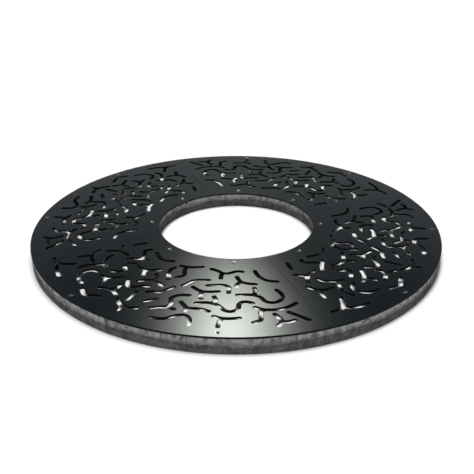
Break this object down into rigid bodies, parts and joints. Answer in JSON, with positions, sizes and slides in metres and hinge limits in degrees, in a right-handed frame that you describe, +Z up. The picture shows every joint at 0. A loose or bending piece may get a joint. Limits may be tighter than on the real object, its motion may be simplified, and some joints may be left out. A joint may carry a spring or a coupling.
{
  "type": "tree grate",
  "caption": "Round steel tree grate: slotted quarter plates screwed flush to a bolted galvanised frame round an open tree pit.",
  "frame": {"origin": "centre of the tree opening, on the underside of the frame", "axes": "+Z up, square to the plates; the seams between the quarters lie on the X and Y axes"},
  "size_m": [1.3, 1.3, 0.051],
  "materials": {
    "plate_coat": "anthracite powder coat, semi-gloss",
    "galvanised": "hot-dip galvanised, dull mottled grey",
    "stainless": "stainless steel, bright",
    "zinc_plated": "zinc plated, satin"
  },
  "bodies": {
    "frame": {"back_left_back_end_bar": "galvanised", "back_left_inner_lugs": "galvanised", "back_left_inner_rim": "galvanised", "back_left_left_end_bar": "galvanised", "back_left_outer_lugs": "galvanised", "back_left_outer_rim": "galvanised", "back_right_back_end_bar": "galvanised", "back_right_inner_lugs": "galvanised", "back_right_inner_rim": "galvanised", "back_right_outer_lugs": "galvanised", "back_right_outer_rim": "galvanised", "back_right_right_end_bar": "galvanised", "back_seam_bolts": "zinc_plated", "back_seam_nuts": "zinc_plated", "back_seam_spacers": "zinc_plated", "back_seam_washers": "zinc_plated", "front_left_front_end_bar": "galvanised", "front_left_inner_lugs": "galvanised", "front_left_inner_rim": "galvanised", "front_left_left_end_bar": "galvanised", "front_left_outer_lugs": "galvanised", "front_left_outer_rim": "galvanised", "front_right_front_end_bar": "galvanised", "front_right_inner_lugs": "galvanised", "front_right_inner_rim": "galvanised", "front_right_outer_lugs": "galvanised", "front_right_outer_rim": "galvanised", "front_right_right_end_bar": "galvanised", "front_seam_bolts": "zinc_plated", "front_seam_nuts": "zinc_plated", "front_seam_spacers": "zinc_plated", "front_seam_washers": "zinc_plated", "left_seam_bolts": "zinc_plated", "left_seam_nuts": "zinc_plated", "left_seam_spacers": "zinc_plated", "left_seam_washers": "zinc_plated", "right_seam_bolts": "zinc_plated", "right_seam_nuts": "zinc_plated", "right_seam_spacers": "zinc_plated", "right_seam_washers": "zinc_plated"},
    "back_right_plate": {"back_right_plate": "plate_coat", "back_right_inner_screws": "stainless", "back_right_outer_screws": "stainless"},
    "back_left_plate": {"back_left_plate": "plate_coat", "back_left_inner_screws": "stainless", "back_left_outer_screws": "stainless"},
    "front_left_plate": {"front_left_plate": "plate_coat", "front_left_inner_screws": "stainless", "front_left_outer_screws": "stainless"},
    "front_right_plate": {"front_right_plate": "plate_coat", "front_right_inner_screws": "stainless", "front_right_outer_screws": "stainless"}
  },
  "joints": [
    {"name": "back_right_plate_lift", "type": "slide", "parent": "frame", "child": "back_right_plate", "axis": [0, 0, 1], "range_m": [0, 0.15]},
    {"name": "back_left_plate_lift", "type": "slide", "parent": "frame", "child": "back_left_plate", "axis": [0, 0, 1], "range_m": [0, 0.15]},
    {"name": "front_left_plate_lift", "type": "slide", "parent": "frame", "child": "front_left_plate", "axis": [0, 0, 1], "range_m": [0, 0.15]},
    {"name": "front_right_plate_lift", "type": "slide", "parent": "frame", "child": "front_right_plate", "axis": [0, 0, 1], "range_m": [0, 0.15]}
  ]
}
